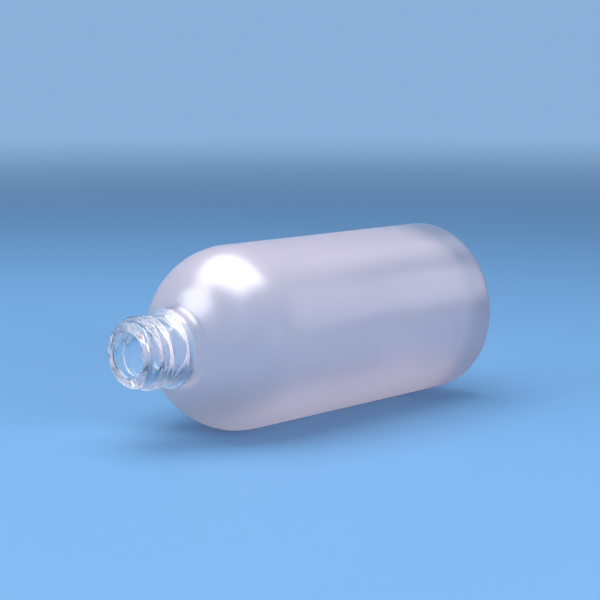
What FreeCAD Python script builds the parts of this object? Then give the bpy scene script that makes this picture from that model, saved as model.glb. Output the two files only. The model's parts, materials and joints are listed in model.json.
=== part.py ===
import FreeCAD, Part
import math
import os

# A frosted glass bottle, blown as one piece: a straight round body, a domed shoulder and a short
# neck with an outside screw thread. It stands on its base. Z is its axis and points out of its
# mouth, and the origin is the centre of the flat ring that it stands on. Sizes are in millimetres.

# Body and shoulder
overall_height = 112.5
body_diameter = 47.0
body_wall = 2.6
shoulder_radius = 20.0

# Base
heel_radius = 3.0  # rounding between the side and the standing ring
standing_ring_width = 3.0  # flat ring that the bottle stands on
push_up_height = 1.8  # how far the middle of the base is domed up
push_up_edge_radius = 4.0  # rounding between the standing ring and the push-up
base_thickness = 3.8  # glass at the middle of the base
inside_floor_drop = 0.7  # from the middle of the inside floor down to its edge
inside_heel_radius = 6.0

# Neck, from the mouth down
bore_diameter = 10.6
lip_outer_radius = 1.0
lip_inner_radius = 0.6
neck_root_inset = 0.5  # how far the root of the neck lies behind the bead's rim
neck_root_fillet = 2.5  # hollow between the bead and the shoulder
bore_flare_radius = 3.5  # rounding where the bore opens into the shoulder

# Bead, the ring below the thread that a cap's skirt comes down to
bead_overhang = 0.8  # how far the bead stands out from the thread
bead_rim_radius = 0.95
bead_below_mouth = 12.35  # from the mouth down to the middle of the bead's rim
bead_top_fillet = 2.2

# Thread, one right-hand ridge with round crests that sinks into the neck at both ends
thread_diameter = 18.2
thread_height = 0.9
thread_pitch = 3.0
thread_turns = 1.9
thread_below_mouth = 2.05  # from the mouth down to the middle of the ridge's upper end
thread_upper_end = 90.0  # where the ridge's upper end lies, in degrees from +X towards +Y
thread_crest_radius = 0.5
thread_flank_angle = 40.0  # between the ridge's sides and a line straight out from the axis
thread_fade_angle = 45.0  # turn over which each end of the ridge rises to its full height
thread_fade_share = 0.9  # share of the ridge's height that is gone at its very end
thread_root_depth = 0.3  # how far the ridge's foot reaches into the neck's wall
thread_section_angle = 15.0  # turn from one cross section of the ridge to the next

body_radius = body_diameter / 2
inside_radius = body_radius - body_wall
bore_radius = bore_diameter / 2
thread_radius = thread_diameter / 2
neck_radius = thread_radius - thread_height
bead_radius = thread_radius + bead_overhang
ABOVE, BELOW = 1, -1


def at(radius, height):
    """A point of the half section, which lies in the XZ plane."""
    return FreeCAD.Vector(radius, 0, height)


def centre_at(radius, other, reach, side):
    """The centre at a radius from the axis that lies a given reach above or below another one."""
    return at(radius, other.z + side * math.sqrt(reach**2 - (radius - other.x) ** 2))


def touch(centre, radius, other):
    """The point where the circle round a centre touches the circle round another one outside it."""
    return centre + (other - centre).normalize() * radius


def domed_floor(top, drop, reach, edge_radius):
    """Where a dome on the axis ends, its centre, and the centre of the rounding at its edge."""
    rise = edge_radius - drop
    dome_radius = (reach**2 + rise**2 - edge_radius**2) / (2 * drop)
    dome_centre = at(0, top - dome_radius)
    edge_centre = at(reach, top + rise)
    return touch(dome_centre, dome_radius, edge_centre), dome_centre, edge_centre


def edges_along(start, steps):
    """Joined edges from a start: each step is a point to go to, and a centre if it goes round."""
    edges = []
    for end, centre in steps:
        if centre is None:
            curve = Part.LineSegment(start, end)
        else:
            outward = ((start - centre) + (end - centre)).normalize()
            middle = centre + outward * start.distanceToPoint(centre)
            curve = Part.Arc(start, middle, end)
        edges.append(curve.toShape())
        start = end
    return edges


# The centres of the neck's roundings, worked out from the mouth down to the shoulder
lip_rim = at(neck_radius - lip_outer_radius, overall_height - lip_outer_radius)
bead_rim = at(bead_radius - bead_rim_radius, overall_height - bead_below_mouth)
bead_top = centre_at(
    neck_radius + bead_top_fillet, bead_rim, bead_rim_radius + bead_top_fillet, ABOVE
)
neck_root = centre_at(
    bead_radius - neck_root_inset + neck_root_fillet,
    bead_rim,
    bead_rim_radius + neck_root_fillet,
    BELOW,
)
shoulder = centre_at(
    body_radius - shoulder_radius, neck_root, shoulder_radius + neck_root_fillet, BELOW
)


def outer_steps():
    """The outside, from the middle of the base to the mouth."""
    ring_edge = body_radius - heel_radius - standing_ring_width
    dome_end, dome_centre, dome_edge = domed_floor(
        push_up_height, push_up_height, ring_edge, push_up_edge_radius
    )
    heel = at(body_radius - heel_radius, heel_radius)
    return [
        (dome_end, dome_centre),
        (at(ring_edge, 0), dome_edge),
        (at(heel.x, 0), None),
        (at(body_radius, heel.z), heel),
        (at(body_radius, shoulder.z), None),
        (touch(shoulder, shoulder_radius, neck_root), shoulder),
        (touch(bead_rim, bead_rim_radius, neck_root), neck_root),
        (touch(bead_rim, bead_rim_radius, bead_top), bead_rim),
        (at(neck_radius, bead_top.z), bead_top),
        (at(neck_radius, lip_rim.z), None),
        (at(lip_rim.x, overall_height), lip_rim),
    ]


def inner_steps():
    """The inside, from the mouth down to the middle of the floor."""
    mouth_edge = at(bore_radius + lip_inner_radius, overall_height - lip_inner_radius)
    inside_shoulder_radius = shoulder_radius - body_wall
    flare_radius = bore_radius + bore_flare_radius
    flare = centre_at(flare_radius, shoulder, inside_shoulder_radius + bore_flare_radius, ABOVE)
    floor_top = push_up_height + base_thickness
    floor_end, floor_centre, inside_heel = domed_floor(
        floor_top, inside_floor_drop, inside_radius - inside_heel_radius, inside_heel_radius
    )
    return [
        (at(mouth_edge.x, overall_height), None),
        (at(bore_radius, mouth_edge.z), mouth_edge),
        (at(bore_radius, flare.z), None),
        (touch(shoulder, inside_shoulder_radius, flare), flare),
        (at(inside_radius, shoulder.z), shoulder),
        (at(inside_radius, inside_heel.z), None),
        (floor_end, inside_heel),
        (at(0, floor_top), floor_centre),
        (at(0, push_up_height), None),
    ]


def blown_body():
    """The bottle without its thread: the half section turned once round the axis."""
    section = Part.Wire(edges_along(at(0, push_up_height), outer_steps() + inner_steps()))
    return Part.Face(section).revolve(FreeCAD.Vector(), FreeCAD.Vector(0, 0, 1), 360)


def ridge_section(angle, height, sink):
    """The ridge's cross section at an angle round the neck, moved in towards the axis by sink."""
    crest_centre = at(thread_radius - thread_crest_radius, 0)
    flank = math.radians(thread_flank_angle)
    tip = at(math.sin(flank), math.cos(flank)) * thread_crest_radius
    foot_radius = neck_radius - thread_root_depth
    foot_half = tip.z + (crest_centre.x + tip.x - foot_radius) * math.tan(flank)
    upper_tip = crest_centre + tip
    lower_tip = at(upper_tip.x, -upper_tip.z)
    steps = [
        (lower_tip, None),
        (upper_tip, crest_centre),
        (at(foot_radius, foot_half), None),
        (at(foot_radius, -foot_half), None),
    ]
    section = Part.Wire(edges_along(at(foot_radius, -foot_half), steps))
    section.translate(at(-sink, height))
    section.rotate(FreeCAD.Vector(), FreeCAD.Vector(0, 0, 1), angle)
    return section


def thread():
    """The screw ridge, followed from its upper end down and clockwise round the neck."""
    whole_turn = thread_turns * 360
    steps = math.ceil(whole_turn / thread_section_angle)
    sections = []
    for step in range(steps + 1):
        turned = whole_turn * step / steps
        to_end = min(turned, whole_turn - turned)
        faded = 1 - min(1, to_end / thread_fade_angle)
        eased = faded**2 * (3 - 2 * faded)
        height = overall_height - thread_below_mouth - thread_pitch * turned / 360
        sink = thread_height * thread_fade_share * eased
        sections.append(ridge_section(thread_upper_end - turned, height, sink))
    return Part.makeLoft(sections, True)


os.makedirs("parts", exist_ok=True)
bottle = blown_body().fuse(thread())
bottle.exportStep("parts/bottle.step")
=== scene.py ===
# %% [markdown]
# # A frosted glass bottle
# The bottle is one piece of blown glass. Its body and shoulder are frosted outside, and its neck
# is left clear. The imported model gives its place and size, and this script gives the glass its
# finish, a camera, a room, a table and lamps.

import json
import math

import bmesh
import bpy
from mathutils import Matrix, Quaternion, Vector, noise

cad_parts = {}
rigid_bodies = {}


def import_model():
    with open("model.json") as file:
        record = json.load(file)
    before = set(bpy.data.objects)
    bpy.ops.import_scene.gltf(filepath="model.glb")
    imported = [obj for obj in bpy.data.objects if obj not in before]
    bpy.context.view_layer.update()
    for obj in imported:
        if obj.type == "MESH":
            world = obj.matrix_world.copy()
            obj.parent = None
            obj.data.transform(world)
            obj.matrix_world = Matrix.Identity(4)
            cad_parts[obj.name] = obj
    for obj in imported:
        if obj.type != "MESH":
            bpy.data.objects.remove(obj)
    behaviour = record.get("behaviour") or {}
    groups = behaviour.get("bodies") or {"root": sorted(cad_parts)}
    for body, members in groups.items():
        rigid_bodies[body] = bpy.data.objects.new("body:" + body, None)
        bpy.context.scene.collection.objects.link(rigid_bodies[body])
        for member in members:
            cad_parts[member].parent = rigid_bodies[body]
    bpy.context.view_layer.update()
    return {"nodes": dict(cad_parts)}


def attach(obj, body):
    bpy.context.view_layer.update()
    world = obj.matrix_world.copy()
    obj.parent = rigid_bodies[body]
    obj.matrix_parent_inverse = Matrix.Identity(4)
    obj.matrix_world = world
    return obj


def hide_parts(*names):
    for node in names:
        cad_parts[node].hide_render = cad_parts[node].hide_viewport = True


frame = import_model()
MM = 0.001
print("packed nodes:", sorted(frame["nodes"]))

# %% [markdown]
# ## Objects
# A camera, a mesh or a lamp is only data at first. It takes an object to give it a place and a
# turn, and a link to put that object into the scene. The same steps come again for every one of
# them, so they are a function.


# %% Put something into the scene
def add_object(name, data, where=Matrix()):
    """A new object in the scene, at the place and turn that a matrix gives."""
    made = bpy.data.objects.new(name, data)
    made.matrix_world = where
    bpy.context.scene.collection.objects.link(made)
    return made


# %% [markdown]
# ## Camera
# The bottle lies on its side in the picture, with its mouth towards us. Here it stands on its
# base, so the camera lies over on its side instead: the picture's right is the way down to the
# base. A camera can be turned by three angles, but a point to look at and a roll say more, and
# they can be read from the picture. The lens is a long one, because the picture shows little
# perspective.

# %% The camera
camera_place = Vector((0, -290.94, 353.63)) * MM
camera_aim = Vector((6.781, 0, 51.777)) * MM
camera_roll = 0.15306  # in radians, from the bottle's axis lying level in the picture
camera_lens = 95.54  # in mm, as is the sensor's width
sensor_width = 36

ahead = (camera_aim - camera_place).normalized()
to_base = Vector((0, 0, -1))
unrolled_right = (to_base - ahead * to_base.dot(ahead)).normalized()
right = Quaternion(ahead, camera_roll) @ unrolled_right
turned = Matrix((right, right.cross(ahead), -ahead)).transposed()
camera_data = bpy.data.cameras.new("camera")
camera_data.lens = camera_lens
camera_data.sensor_width = sensor_width
camera = add_object("camera", camera_data, Matrix.Translation(camera_place) @ turned.to_4x4())
bpy.context.scene.camera = camera
bpy.context.scene.view_settings.view_transform = "Standard"
print("the camera looks down by", round(math.degrees(math.asin(-ahead.z)), 1), "degrees")

# %% [markdown]
# ## Sums in a material
# A material is a tree of nodes, and even a small sum takes several of them. They could be added
# and linked one by one, but then the sum can't be read any more. This class stands for one socket
# of such a tree, and a sum that is written with it adds the nodes for the sum.


# %% One socket of a node tree
class Wire:
    """A node's output. Plain sums with it become Math nodes."""

    def __init__(self, tree, socket=None):
        self.tree, self.socket = tree, socket

    def node(self, kind, settings, inputs, output=0):
        """A new node of a kind, with its settings made first, then its inputs set or linked."""
        made = self.tree.nodes.new(kind)
        for name, value in settings.items():
            setattr(made, name, value)
        for name, value in inputs.items():
            if isinstance(value, Wire):
                self.tree.links.new(value.socket, made.inputs[name])
            else:
                made.inputs[name].default_value = value
        return Wire(self.tree, made.outputs[output]) if made.outputs else made

    def maths(self, operation, *values):
        return self.node("ShaderNodeMath", {"operation": operation}, dict(enumerate(values)))

    def __add__(self, other):
        return self.maths("ADD", self, other)

    __radd__ = __add__

    def __mul__(self, other):
        return self.maths("MULTIPLY", self, other)

    __rmul__ = __mul__

    def __sub__(self, other):
        return self.maths("SUBTRACT", self, other)

    def __rsub__(self, other):
        return self.maths("SUBTRACT", other, self)

    def between(self, low, high):
        """0 below low, 1 above high and a smooth change between them."""
        return self.node(
            "ShaderNodeMapRange",
            {"interpolation_type": "SMOOTHSTEP"},
            {"Value": self, "From Min": low, "From Max": high},
        )


print("signs that add a node when a Wire stands beside them: + - *")

# %% [markdown]
# A few things are needed by more than one material: an empty tree, the object's own coordinates,
# even noise, and a blend of two colours. The coordinates are the object's own, so a pattern stays
# where it is on the glass from every side.

# %% Helpers for materials
MIX_COLOUR_INPUTS, MIX_COLOUR_OUTPUT = (6, 7), 2  # its other sockets mix numbers and vectors


def new_material(name):
    """A material with an empty tree, a wire to start from and the object's own coordinates."""
    material = bpy.data.materials.new(name)
    material.use_nodes = True
    material.node_tree.nodes.clear()
    wire = Wire(material.node_tree)
    return material, wire, wire.node("ShaderNodeTexCoord", {}, {}, "Object")


def along(place, axis):
    """How far a place lies along one of the axes X, Y and Z."""
    return place.node("ShaderNodeSeparateXYZ", {}, {"Vector": place}, axis)


def speckle(place, scale, detail):
    """Even noise from 0 to 1, with about scale spots to a metre and finer ones by detail."""
    inputs = {"Vector": place, "Scale": scale, "Detail": detail}
    return place.node("ShaderNodeTexNoise", {}, inputs, "Fac")


def blend_colours(share, *colours):
    """A colour that goes from the first to the second as share goes from 0 to 1."""
    ends = {socket: (*colour, 1) for socket, colour in zip(MIX_COLOUR_INPUTS, colours)}
    settings = {"data_type": "RGBA"}
    return share.node("ShaderNodeMix", settings, {"Factor": share, **ends}, MIX_COLOUR_OUTPUT)


print("materials so far:", len(bpy.data.materials))

# %% [markdown]
# ## Outline
# Half of the bottle's section holds its whole shape. It could be a curve, but a curve's roundings
# are hard to keep true. Here it's drawn as with a pen, from the middle of the base out, up the
# outside, over the lip and back down the inside. The lengths are those that a glass maker would
# name, and the middles of the roundings follow from them. All are in millimetres.

# %% The body's and the base's lengths
height = 112.4995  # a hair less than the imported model's, so that the glass stays inside its box
body_radius = 23.5
wall = 2.6
shoulder_radius = 20.0
heel_radius = 3.0
ring_width = 3.0  # of the flat ring that the bottle stands on
push_up = 1.8  # how far the middle of the base is domed up
push_up_edge = 4.0
base_glass = 3.8
floor_drop = 0.7  # from the middle of the inside floor down to its edge
inside_heel = 6.0
print("body:", body_radius * 2, "mm across and", height, "mm high")

# %% The neck's lengths
neck_radius = 8.2
bore_radius = 5.3
lip_outer = 1.0
lip_inner = 0.6
bore_flare = 3.5  # rounding where the bore opens into the shoulder
bead_radius = 9.9
bead_rim = 0.95
bead_below_mouth = 12.35
bead_top = 2.2
neck_root_inset = 0.5  # how far the neck's root lies behind the bead's rim
neck_root = 2.5  # the hollow between the bead and the shoulder
ABOVE, BELOW = 1, -1
print("neck:", neck_radius * 2, "mm across, with a bore of", bore_radius * 2, "mm")


# %% Middles of the roundings
def aside(first, radius, reach, side):
    """The middle at a radius from the axis that lies a reach above or below another middle."""
    return radius, first[1] + side * math.sqrt(reach**2 - (radius - first[0]) ** 2)


def touch(middle, radius, other):
    """Where the circle round a middle touches the circle round another."""
    gap = math.hypot(other[0] - middle[0], other[1] - middle[1])
    return tuple(a + (b - a) * radius / gap for a, b in zip(middle, other))


def dome(top, drop, reach, edge):
    """A shallow dome on the axis: where it ends, its middle, and the middle of its edge."""
    rise = edge - drop
    radius = (reach**2 + rise**2 - edge**2) / (2 * drop)
    middle, edge_middle = (0, top - radius), (reach, top + rise)
    return touch(middle, radius, edge_middle), middle, edge_middle


lip_at = (neck_radius - lip_outer, height - lip_outer)
mouth_edge_at = (bore_radius + lip_inner, height - lip_inner)
rim_at = (bead_radius - bead_rim, height - bead_below_mouth)
bead_top_at = aside(rim_at, neck_radius + bead_top, bead_rim + bead_top, ABOVE)
neck_root_at = aside(
    rim_at, bead_radius - neck_root_inset + neck_root, bead_rim + neck_root, BELOW
)
shoulder_at = aside(
    neck_root_at, body_radius - shoulder_radius, shoulder_radius + neck_root, BELOW
)
inside_shoulder = shoulder_radius - wall
flare_at = aside(shoulder_at, bore_radius + bore_flare, inside_shoulder + bore_flare, ABOVE)
ring_edge = body_radius - heel_radius - ring_width
base_end, base_at, base_edge_at = dome(push_up, push_up, ring_edge, push_up_edge)
inside_floor = push_up + base_glass
floor_end, floor_at, inside_heel_at = dome(
    inside_floor, floor_drop, body_radius - wall - inside_heel, inside_heel
)
print("the shoulder starts", round(shoulder_at[1], 2), "mm above the ground")

# %% [markdown]
# Each stretch of the outline is a line or an arc, with its own number of steps: many where the
# thread has to rise out of the neck, few where the side is plain. The outline has three parts, so
# that each can have its own glass: frosted outside, clear outside and clear inside.

# %% Lines and arcs of the outline: (end, middle of the arc or None, steps)
frosted_outside = [
    (base_end, base_at, 14),
    ((ring_edge, 0), base_edge_at, 6),
    ((body_radius - heel_radius, 0), None, 3),
    ((body_radius, heel_radius), (body_radius - heel_radius, heel_radius), 10),
    ((body_radius, shoulder_at[1]), None, 26),
    (touch(shoulder_at, shoulder_radius, neck_root_at), shoulder_at, 36),
    (touch(rim_at, bead_rim, neck_root_at), neck_root_at, 16),
]
clear_outside = [
    (touch(rim_at, bead_rim, bead_top_at), rim_at, 14),
    ((neck_radius, bead_top_at[1]), bead_top_at, 12),
    ((neck_radius, lip_at[1]), None, 72),
    ((lip_at[0], height), lip_at, 8),
]
clear_inside = [
    ((mouth_edge_at[0], height), None, 2),
    ((bore_radius, mouth_edge_at[1]), mouth_edge_at, 6),
    ((bore_radius, flare_at[1]), None, 28),
    (touch(shoulder_at, inside_shoulder, flare_at), flare_at, 12),
    ((body_radius - wall, shoulder_at[1]), shoulder_at, 28),
    ((body_radius - wall, inside_heel_at[1]), None, 20),
    (floor_end, inside_heel_at, 12),
    ((0, inside_floor), floor_at, 12),
]
print("stretches:", len(frosted_outside), "+", len(clear_outside), "+", len(clear_inside))

# %% [markdown]
# The pen is a vertex. It's extruded step by step for a line, and spun about the arc's middle for
# an arc, so that the operators make the points and no list of them has to be worked out.


# %% Draw the outline
def draw(bm, start, stretches):
    """Draws stretches from a vertex on, and gives the last vertex and the new edges."""
    edges = []
    for end, middle, steps in stretches:
        before = len(bm.edges)
        if middle is None:
            step = (Vector((end[0], 0, end[1])) * MM - start.co) / steps
            for _ in range(steps):
                drawn = bmesh.ops.extrude_vert_indiv(bm, verts=[start])
                start = drawn["verts"][0]
                start.co += step
        else:
            centre = Vector((middle[0], 0, middle[1])) * MM
            from_centre = start.co - centre
            first = math.atan2(from_centre.z, from_centre.x)
            last = math.atan2(end[1] - middle[1], end[0] - middle[0])
            turn = (last - first + math.pi) % math.tau - math.pi
            drawn = bmesh.ops.spin(
                bm, geom=[start], cent=centre, axis=(0, 1, 0), angle=-turn, steps=steps
            )
            start = next(v for v in drawn["geom_last"] if isinstance(v, bmesh.types.BMVert))
        bm.edges.ensure_lookup_table()
        edges += bm.edges[before:]
    return start, edges


glass = bmesh.new()
inside_mark = glass.verts.layers.int.new("inside")
pen = glass.verts.new((0, 0, push_up * MM))
parts = []
for stretches in (frosted_outside, clear_outside, clear_inside):
    pen, drawn_edges = draw(glass, pen, stretches)
    parts.append(drawn_edges)
print("the outline ends at height", round(pen.co.z / MM, 3), "mm with", len(glass.edges), "edges")

# %% [markdown]
# ## Blown glass
# A glass bottle is as round as a turned one, so its outline is spun round the axis. A spin gets
# slow once a mesh is large, so a narrow sector is spun, and then copied and turned until it's a
# whole round. The points where two sectors or two parts of the outline meet, and those at the two
# poles, lie on each other, so they are merged.

# %% Spin a sector of the outline
FROSTED, CLEAR = 0, 1
OUTSIDE, INSIDE = 0, 1
sectors = 16
sector_steps = 15
finishes = ((FROSTED, OUTSIDE), (CLEAR, OUTSIDE), (CLEAR, INSIDE))
for edges, (material_index, side) in zip(parts, finishes):
    before = len(glass.faces)
    verts = dict.fromkeys(v for e in edges for v in e.verts)  # each once, as drawn
    bmesh.ops.spin(
        glass,
        geom=[*verts, *edges],
        axis=(0, 0, 1),
        angle=math.tau / sectors,
        steps=sector_steps,
    )
    glass.faces.ensure_lookup_table()
    for face in glass.faces[before:]:
        face.material_index = material_index
        for vert in face.verts:
            vert[inside_mark] = side
print("one sector has", len(glass.faces), "faces")

# %% Double the sector until it goes all the way round
merge_gap = 0.002 * MM
copies = 1
while copies < sectors:
    everything = glass.verts[:] + glass.edges[:] + glass.faces[:]
    copied = bmesh.ops.duplicate(glass, geom=everything)["geom"]
    bmesh.ops.rotate(
        glass,
        matrix=Matrix.Rotation(math.tau / sectors * copies, 3, "Z"),
        verts=[v for v in copied if isinstance(v, bmesh.types.BMVert)],
    )
    copies *= 2
bmesh.ops.remove_doubles(glass, verts=glass.verts, dist=merge_gap)
around = sectors * sector_steps
print("the whole round:", len(glass.faces), "faces,", around, "to a row")

# %% [markdown]
# ## Thread
# The thread is one right-hand ridge, pressed into the soft glass by the mould. Its crest is
# round, its sides lean, and both its ends sink into the neck. A ridge could be swept along a
# screw line and joined to the neck, but joining leaves a hard seam. The neck has points close
# together here, so each point is moved out from the axis to where the ridge lies over it, and a
# soft maximum gives the small rounding at the ridge's foot.

# %% The thread's lengths in mm and angles in degrees
thread_radius = 9.1
thread_pitch = 3.0
thread_turns = 1.9
thread_below_mouth = 2.05  # from the mouth down to the middle of the ridge's upper end
thread_upper_end = 90.0  # where that end lies, from +X towards +Y
crest_radius = 0.5
flank = math.radians(40.0)  # between the ridge's sides and a line straight out from the axis
fade_angle = 45.0  # turn over which each end rises to its full height
fade_share = 1.05  # share of the ridge's height by which each end sinks
foot_rounding = 0.16
print("the thread stands out by", round(thread_radius - neck_radius, 2), "mm")


# %% The ridge as a radius
def ridge_radius(azimuth, level):
    """How far from the axis the ridge's surface lies at an azimuth in degrees and a height."""
    whole_turn = thread_turns * 360
    tip = crest_radius * math.cos(flank)
    best = 0.0
    turned = (thread_upper_end - azimuth) % 360
    while turned < whole_turn:
        faded = 1 - min(1.0, min(turned, whole_turn - turned) / fade_angle)
        sink = (thread_radius - neck_radius) * fade_share * faded**2 * (3 - 2 * faded)
        crest_height = height - thread_below_mouth - thread_pitch * turned / 360
        off = abs(level - crest_height)
        if off < tip:
            out = math.sqrt(crest_radius**2 - off**2)
        else:
            out = crest_radius * math.sin(flank) - (off - tip) / math.tan(flank)
        best = max(best, thread_radius - crest_radius + out - sink)
        turned += 360
    return best


def soft_max(first, second, rounding):
    """The larger of two lengths, with a rounding where they are nearly the same."""
    near = max(0.0, rounding - abs(first - second))
    return max(first, second) + near**2 / (4 * rounding)


first_crest = height - thread_below_mouth - thread_pitch / 2
near_side = thread_upper_end - 180
print("the first crest at the near side:", round(ridge_radius(near_side, first_crest), 3), "mm")

# %% [markdown]
# ## Traces of the mould
# Glass that was blown is never quite even. The two halves of the mould leave a hair-thin line
# down each side, which the frosting nearly wipes off the body, and the inside, which no mould
# touches, ripples a little. A bump in the material could fake both, but clear glass bends light
# by its true shape, so the points themselves are moved. The outside has to stay inside the
# bottle's own size, so all of it lies lower by the height of the line on the neck and by the
# ripple.

# %% Press the thread and leave the mould's traces
seam_azimuths = (-91.5, 88.5)
neck_seam, body_seam = 0.035, 0.008
outside_ripple, inside_ripple = 0.015, 0.02
ripple_length = 9.0
on_the_axis = 0.01  # points nearer to the axis than this are the poles, and stay
half_step = 180 / around
thread_zone = (bead_top_at[1], lip_at[1])
moved = 0
for vert in glass.verts:
    radius = math.hypot(vert.co.x, vert.co.y) / MM
    level = vert.co.z / MM
    if radius < on_the_axis:
        continue
    azimuth = math.degrees(math.atan2(vert.co.y, vert.co.x))
    wave = noise.noise(vert.co / (ripple_length * MM))
    if vert[inside_mark]:
        new_radius = radius + inside_ripple * wave
    else:
        new_radius = radius
        if thread_zone[0] <= level <= thread_zone[1]:
            new_radius = soft_max(radius, ridge_radius(azimuth, level), foot_rounding)
        seam_height = neck_seam if level > rim_at[1] else body_seam
        if not any(abs(azimuth - seam) < half_step for seam in seam_azimuths):
            seam_height = 0
        new_radius += outside_ripple * (wave - 1) + seam_height - neck_seam
    vert.co.x *= new_radius / radius
    vert.co.y *= new_radius / radius
    moved += 1
print("moved", moved, "points of", len(glass.verts))

# %% Turn the faces outwards and make the bottle's object
bmesh.ops.recalc_face_normals(glass, faces=glass.faces)
bottle_data = bpy.data.meshes.new("frosted_bottle")
glass.to_mesh(bottle_data)
print("the glass has a volume of", round(glass.calc_volume() / (10 * MM) ** 3, 2), "cm3")
glass.free()
bottle_data.shade_smooth()
bottle = add_object("frosted_bottle", bottle_data)

# %% [markdown]
# ## Frosting
# The frosting is an etched skin a few hundredths of a millimetre deep. Light that passes it is
# scattered, so the body glows softly and hides what is inside. Rough glass alone looks like satin
# plastic, and white paint hides too much. So most of the light goes on as through rough glass,
# and a share of it is spread evenly to the other side, as by thin white paper. The etch is
# stronger in some places than in others, which is the slow noise, and it's made of grains, which
# is the fine noise in the bump.

# %% The frosting's roughness and colour
frost_line = touch(rim_at, bead_rim, neck_root_at)[1] * MM
frost_fade = 0.8 * MM  # it's smoother just below the bead, where the neck was masked
frosted_rough, frosted_rough_spread, masked_rough_share = 0.43, 0.16, 0.5
frosted_cool, frosted_white = (0.89, 0.88, 0.93), (1.0, 0.94, 0.91)
cloud_scale, grain_scale = 55, 3200
grain_strength, grain_depth = 0.35, 0.05 * MM

frosted_glass, wire, place = new_material("frosted_glass_skin")
cloud = speckle(place, cloud_scale, detail=3)
grain = speckle(place, grain_scale, detail=1)
masked = along(place, "Z").between(frost_line - frost_fade, frost_line)
rough = frosted_rough + frosted_rough_spread * (cloud - 0.5)
rough = rough * (1 - masked_rough_share * masked)
colour = blend_colours(cloud, frosted_cool, frosted_white)
bump = wire.node(
    "ShaderNodeBump", {}, {"Strength": grain_strength, "Distance": grain_depth, "Height": grain}
)
print("the frosting ends", round(height - frost_line / MM, 2), "mm below the mouth")

# %% [markdown]
# The share that is spread evenly isn't the same everywhere. On the side that lies on the table,
# towards -X, a larger share is painted light: it brightens the lower edge there, as light that
# passes through the bottle and comes off the table would. At the heel the glass is thick, and the
# etch is thin: with more glow there the rounded edge of the inside floor would shine through as a
# ring. The light itself has one colour, half way between the frosting's two.

# %% The share that is spread evenly, with painted light on the low side
frosted_glow, heel_glow = 0.3, 0.08
glow_colour = (0.945, 0.91, 0.92)
heel_fade = (4 * MM, 16 * MM)  # heights between which the heel's share turns into the body's
# Painted light: the extra share on the side towards -X brightens its lower edge.
low_side_painted_glow = 0.34  # added on the side that lies on the table, towards -X
low_side_painted_glow_fade = (-23 * MM, -12 * MM)

# Here the painted light on the low side is added to the body's share, fading in towards -X.
beyond_painted_glow = along(place, "X").between(*low_side_painted_glow_fade)
body_and_painted_glow = frosted_glow + low_side_painted_glow * (1 - beyond_painted_glow)
glow_and_painted_glow_share = heel_glow + (body_and_painted_glow - heel_glow) * along(place, "Z").between(*heel_fade)
print("spread evenly:", heel_glow, "at the heel,", frosted_glow + low_side_painted_glow, "at the most")

# %% [markdown]
# A coat over the glass gives the etched surface its wide soft sheen, which is stronger and
# broader than that of polished glass and tints what passes it a little.

# %% The frosted glass
glass_ior = 1.5
coat_rough, coat_ior, coat_tint = 0.28, 2.3, (1.0, 0.88, 0.88)

glassy = wire.node(
    "ShaderNodeBsdfPrincipled",
    {},
    {
        "Base Color": colour,
        "Roughness": rough,
        "IOR": glass_ior,
        "Transmission Weight": 1.0,
        "Coat Weight": 1.0,
        "Coat Roughness": coat_rough,
        "Coat IOR": coat_ior,
        "Coat Tint": (*coat_tint, 1),
        "Normal": bump,
    },
)
papery = wire.node(
    "ShaderNodeBsdfTranslucent", {}, {"Color": (*glow_colour, 1), "Normal": bump}
)
skin = wire.node("ShaderNodeMixShader", {}, {0: glow_and_painted_glow_share, 1: glassy, 2: papery})
wire.node("ShaderNodeOutputMaterial", {}, {"Surface": skin})
bottle_data.materials.append(frosted_glass)
print("frosting:", len(frosted_glass.node_tree.nodes), "nodes")

# %% [markdown]
# ## Clear glass
# The neck was masked while the body was frosted, and the frosting never reaches the inside. This
# is plain soda-lime glass. It's as good as colourless, and what makes it look like moulded glass
# is that its surface is a little wavy and never quite as smooth as a window.

# %% The clear glass
clear_rough, clear_rough_spread = 0.01, 0.02
clear_tints = (0.97, 0.985, 0.99), (0.99, 0.995, 1.0)
wave_scale, smear_scale = 420, 160
wave_strength, wave_depth = 0.02, 0.05 * MM

clear_glass, wire, place = new_material("clear_glass_skin")
wave = speckle(place, wave_scale, detail=1)
smear = speckle(place, smear_scale, detail=3)
bump = wire.node(
    "ShaderNodeBump", {}, {"Strength": wave_strength, "Distance": wave_depth, "Height": wave}
)
skin = wire.node(
    "ShaderNodeBsdfPrincipled",
    {},
    {
        "Base Color": blend_colours(smear, *clear_tints),
        "Roughness": clear_rough + clear_rough_spread * smear,
        "IOR": glass_ior,
        "Transmission Weight": 1.0,
        "Normal": bump,
    },
)
wire.node("ShaderNodeOutputMaterial", {}, {"Surface": skin})
bottle_data.materials.append(clear_glass)
print("clear glass:", len(clear_glass.node_tree.nodes), "nodes")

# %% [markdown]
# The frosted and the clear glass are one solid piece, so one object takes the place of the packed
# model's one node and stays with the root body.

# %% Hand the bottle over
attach(bottle, "root")
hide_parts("bottle")
print("the bottle:", bottle.name, "with", len(bottle_data.polygons), "faces")

# %% [markdown]
# ## Room
# Glass shows what is round it, so the room matters as much as the glass. A picture of a studio
# could be wrapped round it, but a plain haze suits soft light. Rays from the camera, mirrored
# rays and rays that pass through the glass see a pale blue, and all others bring an even light,
# almost white.

# %% The room
room_light, room_light_strength = (0.80, 0.88, 1.0), 0.35
room_colour, room_colour_strength = (0.26, 0.44, 0.70), 1.0

world = bpy.data.worlds.new("room")
world.use_nodes = True
world.node_tree.nodes.clear()
wire = Wire(world.node_tree)


def haze(colour, strength):
    """An even light of a colour from all round."""
    return wire.node("ShaderNodeBackground", {}, {"Color": (*colour, 1), "Strength": strength})


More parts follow.
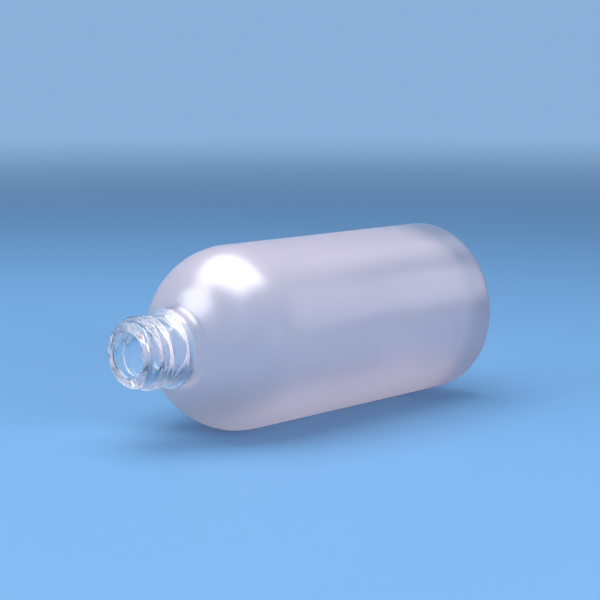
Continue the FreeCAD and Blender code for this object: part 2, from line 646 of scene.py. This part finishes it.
lit = haze(room_light, room_light_strength)
seen = haze(room_colour, room_colour_strength)
from_camera, mirrored, passing = (
    wire.node("ShaderNodeLightPath", {}, {}, f"Is {kind} Ray")
    for kind in ("Camera", "Glossy", "Transmission")
)
shown = wire.maths("MINIMUM", from_camera + mirrored + passing, 1.0)
mixed = wire.node("ShaderNodeMixShader", {}, {0: shown, 1: lit, 2: seen})
wire.node("ShaderNodeOutputWorld", {}, {"Surface": mixed})
bpy.context.scene.world = world
print("the room lights with strength", room_light_strength)

# %% [markdown]
# ## Table
# In the picture the bottle lies on a blue ground. Here it stands, so the ground is a pale blue
# table that stands on edge beside it and all but touches its side, where it takes the bottle's
# soft shadow. Seen from behind it would hide the bottle, so its back lets the view through, and
# far out it fades into the haze, so that no edge of it shows.


# %% Place something so that its front faces one way
def facing(place, direction, front):
    """The matrix for something at a place whose front, an axis of its own, faces a direction."""
    turn = direction.to_track_quat(front, "Y").to_matrix().to_4x4()
    return Matrix.Translation(place) @ turn


print("a lamp's front is -Z, and a grid's is Z")

# %% The table
table_facing = Vector((0.9727, -0.2323, 0))  # the way that is up in the picture
table_gap = 0.02  # in mm, from the bottle's side
table_reach = 4.0  # in metres, as is the next
table_fade = (0.3, 1.7)
table_colour = (0.09, 0.235, 0.43)
table_rough = 0.6
mottle_scale, mottle_share = 3, 0.98  # its darker places have this share of the colour

grid = bmesh.new()
bmesh.ops.create_grid(grid, x_segments=1, y_segments=1, size=table_reach)
table_data = bpy.data.meshes.new("table")
grid.to_mesh(table_data)
grid.free()
table_place = table_facing * -(body_radius + table_gap) * MM
table = add_object("table", table_data, facing(table_place, table_facing, "Z"))
print("the table is", table_reach * 2, "m wide")

# %% The table's surface
table_skin, wire, place = new_material("table")
mottle = speckle(place, mottle_scale, detail=2)
colour = blend_colours(mottle, [share * mottle_share for share in table_colour], table_colour)
paint = wire.node("ShaderNodeBsdfPrincipled", {}, {"Base Color": colour, "Roughness": table_rough})
through = wire.node("ShaderNodeBsdfTransparent", {}, {})
behind = wire.node("ShaderNodeNewGeometry", {}, {}, "Backfacing")
away = wire.node("ShaderNodeVectorMath", {"operation": "LENGTH"}, {0: place}, "Value")
gone = wire.maths("MAXIMUM", behind, away.between(*table_fade))
mixed = wire.node("ShaderNodeMixShader", {}, {0: gone, 1: paint, 2: through})
wire.node("ShaderNodeOutputMaterial", {}, {"Surface": mixed})
table_data.materials.append(table_skin)
print("the table's surface:", len(table_skin.node_tree.nodes), "nodes")

# %% [markdown]
# ## Lamps
# Glass is lit by what it mirrors and by what shines through it, so large soft boxes suit it best.
# The key box faces the table: it lights both, and its mirror image is the bright patch on the
# shoulder. The mouth box makes the soft bridge from that patch down to the neck's root. The base
# box keeps the heel from going dark, and the right box gives the body its soft band. The card is
# an even fill from the camera's side. Mirrored rays and rays that pass through the glass don't
# see it, because its image made a small spot inside the body.


# %% One soft box
def soft_box(name, place, aim, size, watts, colour=(1, 1, 1)):
    """A flat lamp of a width and height that faces a point. Places and sizes are in metres."""
    data = bpy.data.lights.new(name, "AREA")
    data.shape = "RECTANGLE"
    data.size, data.size_y = size
    data.energy = watts
    data.color = colour
    lamp = add_object(name, data, facing(place, Vector(aim) - Vector(place), "-Z"))
    lamp.visible_camera = False
    return lamp


print("lamps so far:", len(bpy.data.lights))

# %% The lamps
warm_white, pale_rose, rose = (1, 0.95, 0.94), (1.0, 0.93, 0.94), (1.0, 0.84, 0.87)
key_box = soft_box("key_box", (0.53, -0.06, 0.12), (0, 0, 0.09), (0.64, 0.48), 4.7, warm_white)
mouth_box = soft_box("mouth_box", (0.46, 0.2, 0.62), (0, 0, 0.1), (0.45, 0.45), 2.7)
base_box = soft_box("base_box", (0.56, -0.05, -0.72), (0, 0, 0.05), (0.3, 0.2), 0.15)
right_box = soft_box("right_box", (0.22, -0.54, -0.76), (0, 0, 0.05), (0.5, 0.3), 0.6, pale_rose)
card = soft_box("card", (-0.12, -0.55, 0.03), (0, 0, 0.05), (0.5, 0.15), 9.0, rose)
card.visible_glossy = False
card.visible_transmission = False
for lamp in (key_box, mouth_box, base_box, right_box, card):
    print(lamp.name, "has", round(lamp.data.energy, 2), "W")
